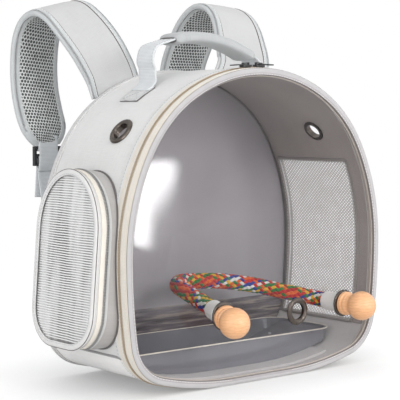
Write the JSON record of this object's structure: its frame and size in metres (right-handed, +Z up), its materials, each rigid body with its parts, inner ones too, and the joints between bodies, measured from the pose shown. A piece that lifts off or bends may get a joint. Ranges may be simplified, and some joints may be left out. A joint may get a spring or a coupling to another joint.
{
  "type": "bird travel carrier",
  "caption": "Backpack carrier for small birds: arched padded shell, clear zipped door with a rope perch, mesh side window, side pocket, slide-in tray, handle and straps.",
  "frame": {"origin": "middle of the base, on the ground", "axes": "+Z up, the clear door faces -Y, the mesh window is on +X and the side pocket on -X"},
  "size_m": [0.3907, 0.326, 0.4154],
  "materials": {
    "shell_fabric": "pale grey woven polyester over foam",
    "lining_fabric": "matt grey lining",
    "binding": "grosgrain edge binding",
    "webbing": "woven polyester webbing",
    "zip_tape": "cream zip tape with beige coil",
    "grey_tape": "grey zip tape",
    "clear_vinyl": "clear glossy vinyl sheet",
    "ring_metal": "dark nickel plating",
    "bright_steel": "zinc plated thread",
    "wood": "turned beech, satin varnish",
    "cap_plastic": "white ribbed plastic",
    "rope": "braided cotton rope in many colours",
    "slider_metal": "black lacquered zinc",
    "black_plastic": "black moulded nylon",
    "white_mesh": "white knitted mesh",
    "air_mesh": "spacer mesh, light strands over dark",
    "tray_plastic": "glossy grey plastic",
    "board": "stiffening board",
    "base_fabric": "coated base fabric"
  },
  "bodies": {
    "root": {"shell_crown": "shell_fabric", "shell_left": "shell_fabric", "shell_right": "shell_fabric", "base_panel": "base_fabric", "base_board": "board", "back_panel": "shell_fabric", "back_binding": "binding", "corner_piping": "lining_fabric", "wipe_strip": "tray_plastic", "hinge_strip": "base_fabric", "shell_zip": "zip_tape", "window_mesh": "white_mesh", "window_binding": "binding", "vent_ring_left": "ring_metal", "vent_ring_right": "ring_metal", "pocket_wall": "shell_fabric", "pocket_wall_zip": "grey_tape", "handle_patch_left": "webbing", "handle_patch_right": "webbing", "strap_anchor_left": "binding", "strap_anchor_right": "binding", "back_pad": "air_mesh"},
    "door": {"door_wall": "shell_fabric", "door_zip": "zip_tape", "window_sheet": "clear_vinyl", "edge_binding": "binding", "door_ring_left": "ring_metal", "door_ring_middle": "ring_metal", "door_ring_right": "ring_metal", "stud_left": "bright_steel", "stud_right": "bright_steel", "perch_cap_left": "cap_plastic", "perch_cap_right": "cap_plastic", "rope_perch": "rope"},
    "knob_left": {"knob_left": "wood"},
    "knob_right": {"knob_right": "wood"},
    "zip_left": {"zip_slider_left": "slider_metal"},
    "pull_left": {"zip_pull_left": "slider_metal"},
    "zip_right": {"zip_slider_right": "slider_metal"},
    "pull_right": {"zip_pull_right": "slider_metal"},
    "pocket_flap": {"pocket_rim": "white_mesh", "pocket_mesh": "white_mesh", "pocket_flap_zip": "zip_tape"},
    "pocket_zip": {"pocket_slider": "slider_metal"},
    "pocket_tab": {"pocket_pull": "slider_metal"},
    "tray": {"tray": "tray_plastic"},
    "handle": {"handle_webbing": "webbing", "handle_grip": "shell_fabric"},
    "strap_left": {"strap_pad_left": "shell_fabric", "strap_lining_left": "air_mesh", "ladder_lock_left": "black_plastic", "strap_tail_left": "webbing", "strap_webbing_left": "webbing"},
    "strap_right": {"strap_pad_right": "shell_fabric", "strap_lining_right": "air_mesh", "ladder_lock_right": "black_plastic", "strap_tail_right": "webbing", "strap_webbing_right": "webbing"}
  },
  "joints": [
    {"name": "door_hinge", "type": "hinge", "parent": "root", "child": "door", "pos_m": [0, -0.0832, 0.0008], "axis": [1, 0, 0], "range_deg": [0, 90]},
    {"name": "knob_left_turn", "type": "hinge", "parent": "door", "child": "knob_left", "pos_m": [-0.054, -0.082, 0.074], "axis": [-0.3407, -0.9361, -0.0872], "continuous": true},
    {"name": "knob_right_turn", "type": "hinge", "parent": "door", "child": "knob_right", "pos_m": [0.123, -0.082, 0.071], "axis": [0, -1, 0], "continuous": true},
    {"name": "zip_left_travel", "type": "hinge", "parent": "root", "child": "zip_left", "pos_m": [0, -0.071, 0.145], "axis": [0, 1, 0], "range_deg": [-28, 0]},
    {"name": "zip_right_travel", "type": "hinge", "parent": "root", "child": "zip_right", "pos_m": [0, -0.071, 0.145], "axis": [0, 1, 0], "range_deg": [0, 28]},
    {"name": "pull_left_flip", "type": "hinge", "parent": "zip_left", "child": "pull_left", "pos_m": [-0.01392, -0.071, 0.33454], "axis": [0, 1, 0], "range_deg": [0, 120]},
    {"name": "pull_right_flip", "type": "hinge", "parent": "zip_right", "child": "pull_right", "pos_m": [0.00464, -0.071, 0.33499], "axis": [0, -1, 0], "range_deg": [0, 120]},
    {"name": "pocket_hinge", "type": "hinge", "parent": "root", "child": "pocket_flap", "pos_m": [-0.2109, -0.012, 0.04954], "axis": [0, -1, 0], "range_deg": [0, 90]},
    {"name": "pocket_zip_travel", "type": "slide", "parent": "root", "child": "pocket_zip", "axis": [0.0785, 0, 0.9969], "range_m": [0, 0.055]},
    {"name": "pocket_tab_flip", "type": "hinge", "parent": "pocket_zip", "child": "pocket_tab", "pos_m": [-0.19394, 0.04655, 0.09936], "axis": [0.9969, 0, -0.0785], "range_deg": [0, 120]},
    {"name": "tray_slide", "type": "slide", "parent": "root", "child": "tray", "axis": [0, -1, 0], "range_m": [0, 0.028]},
    {"name": "handle_swing", "type": "hinge", "parent": "root", "child": "handle", "pos_m": [0, 0.007, 0.32603], "axis": [1, 0, 0], "range_deg": [-40, 40]},
    {"name": "strap_left_swing", "type": "hinge", "parent": "root", "child": "strap_left", "pos_m": [-0.074, 0.0737, 0.30556], "axis": [0.9165, 0, 0.4], "range_deg": [-6, 12], "deforming": ["strap_webbing_left"]},
    {"name": "strap_right_swing", "type": "hinge", "parent": "root", "child": "strap_right", "pos_m": [0.088, 0.0737, 0.29873], "axis": [0.8796, 0, -0.4757], "range_deg": [-6, 12], "deforming": ["strap_webbing_right"]}
  ]
}
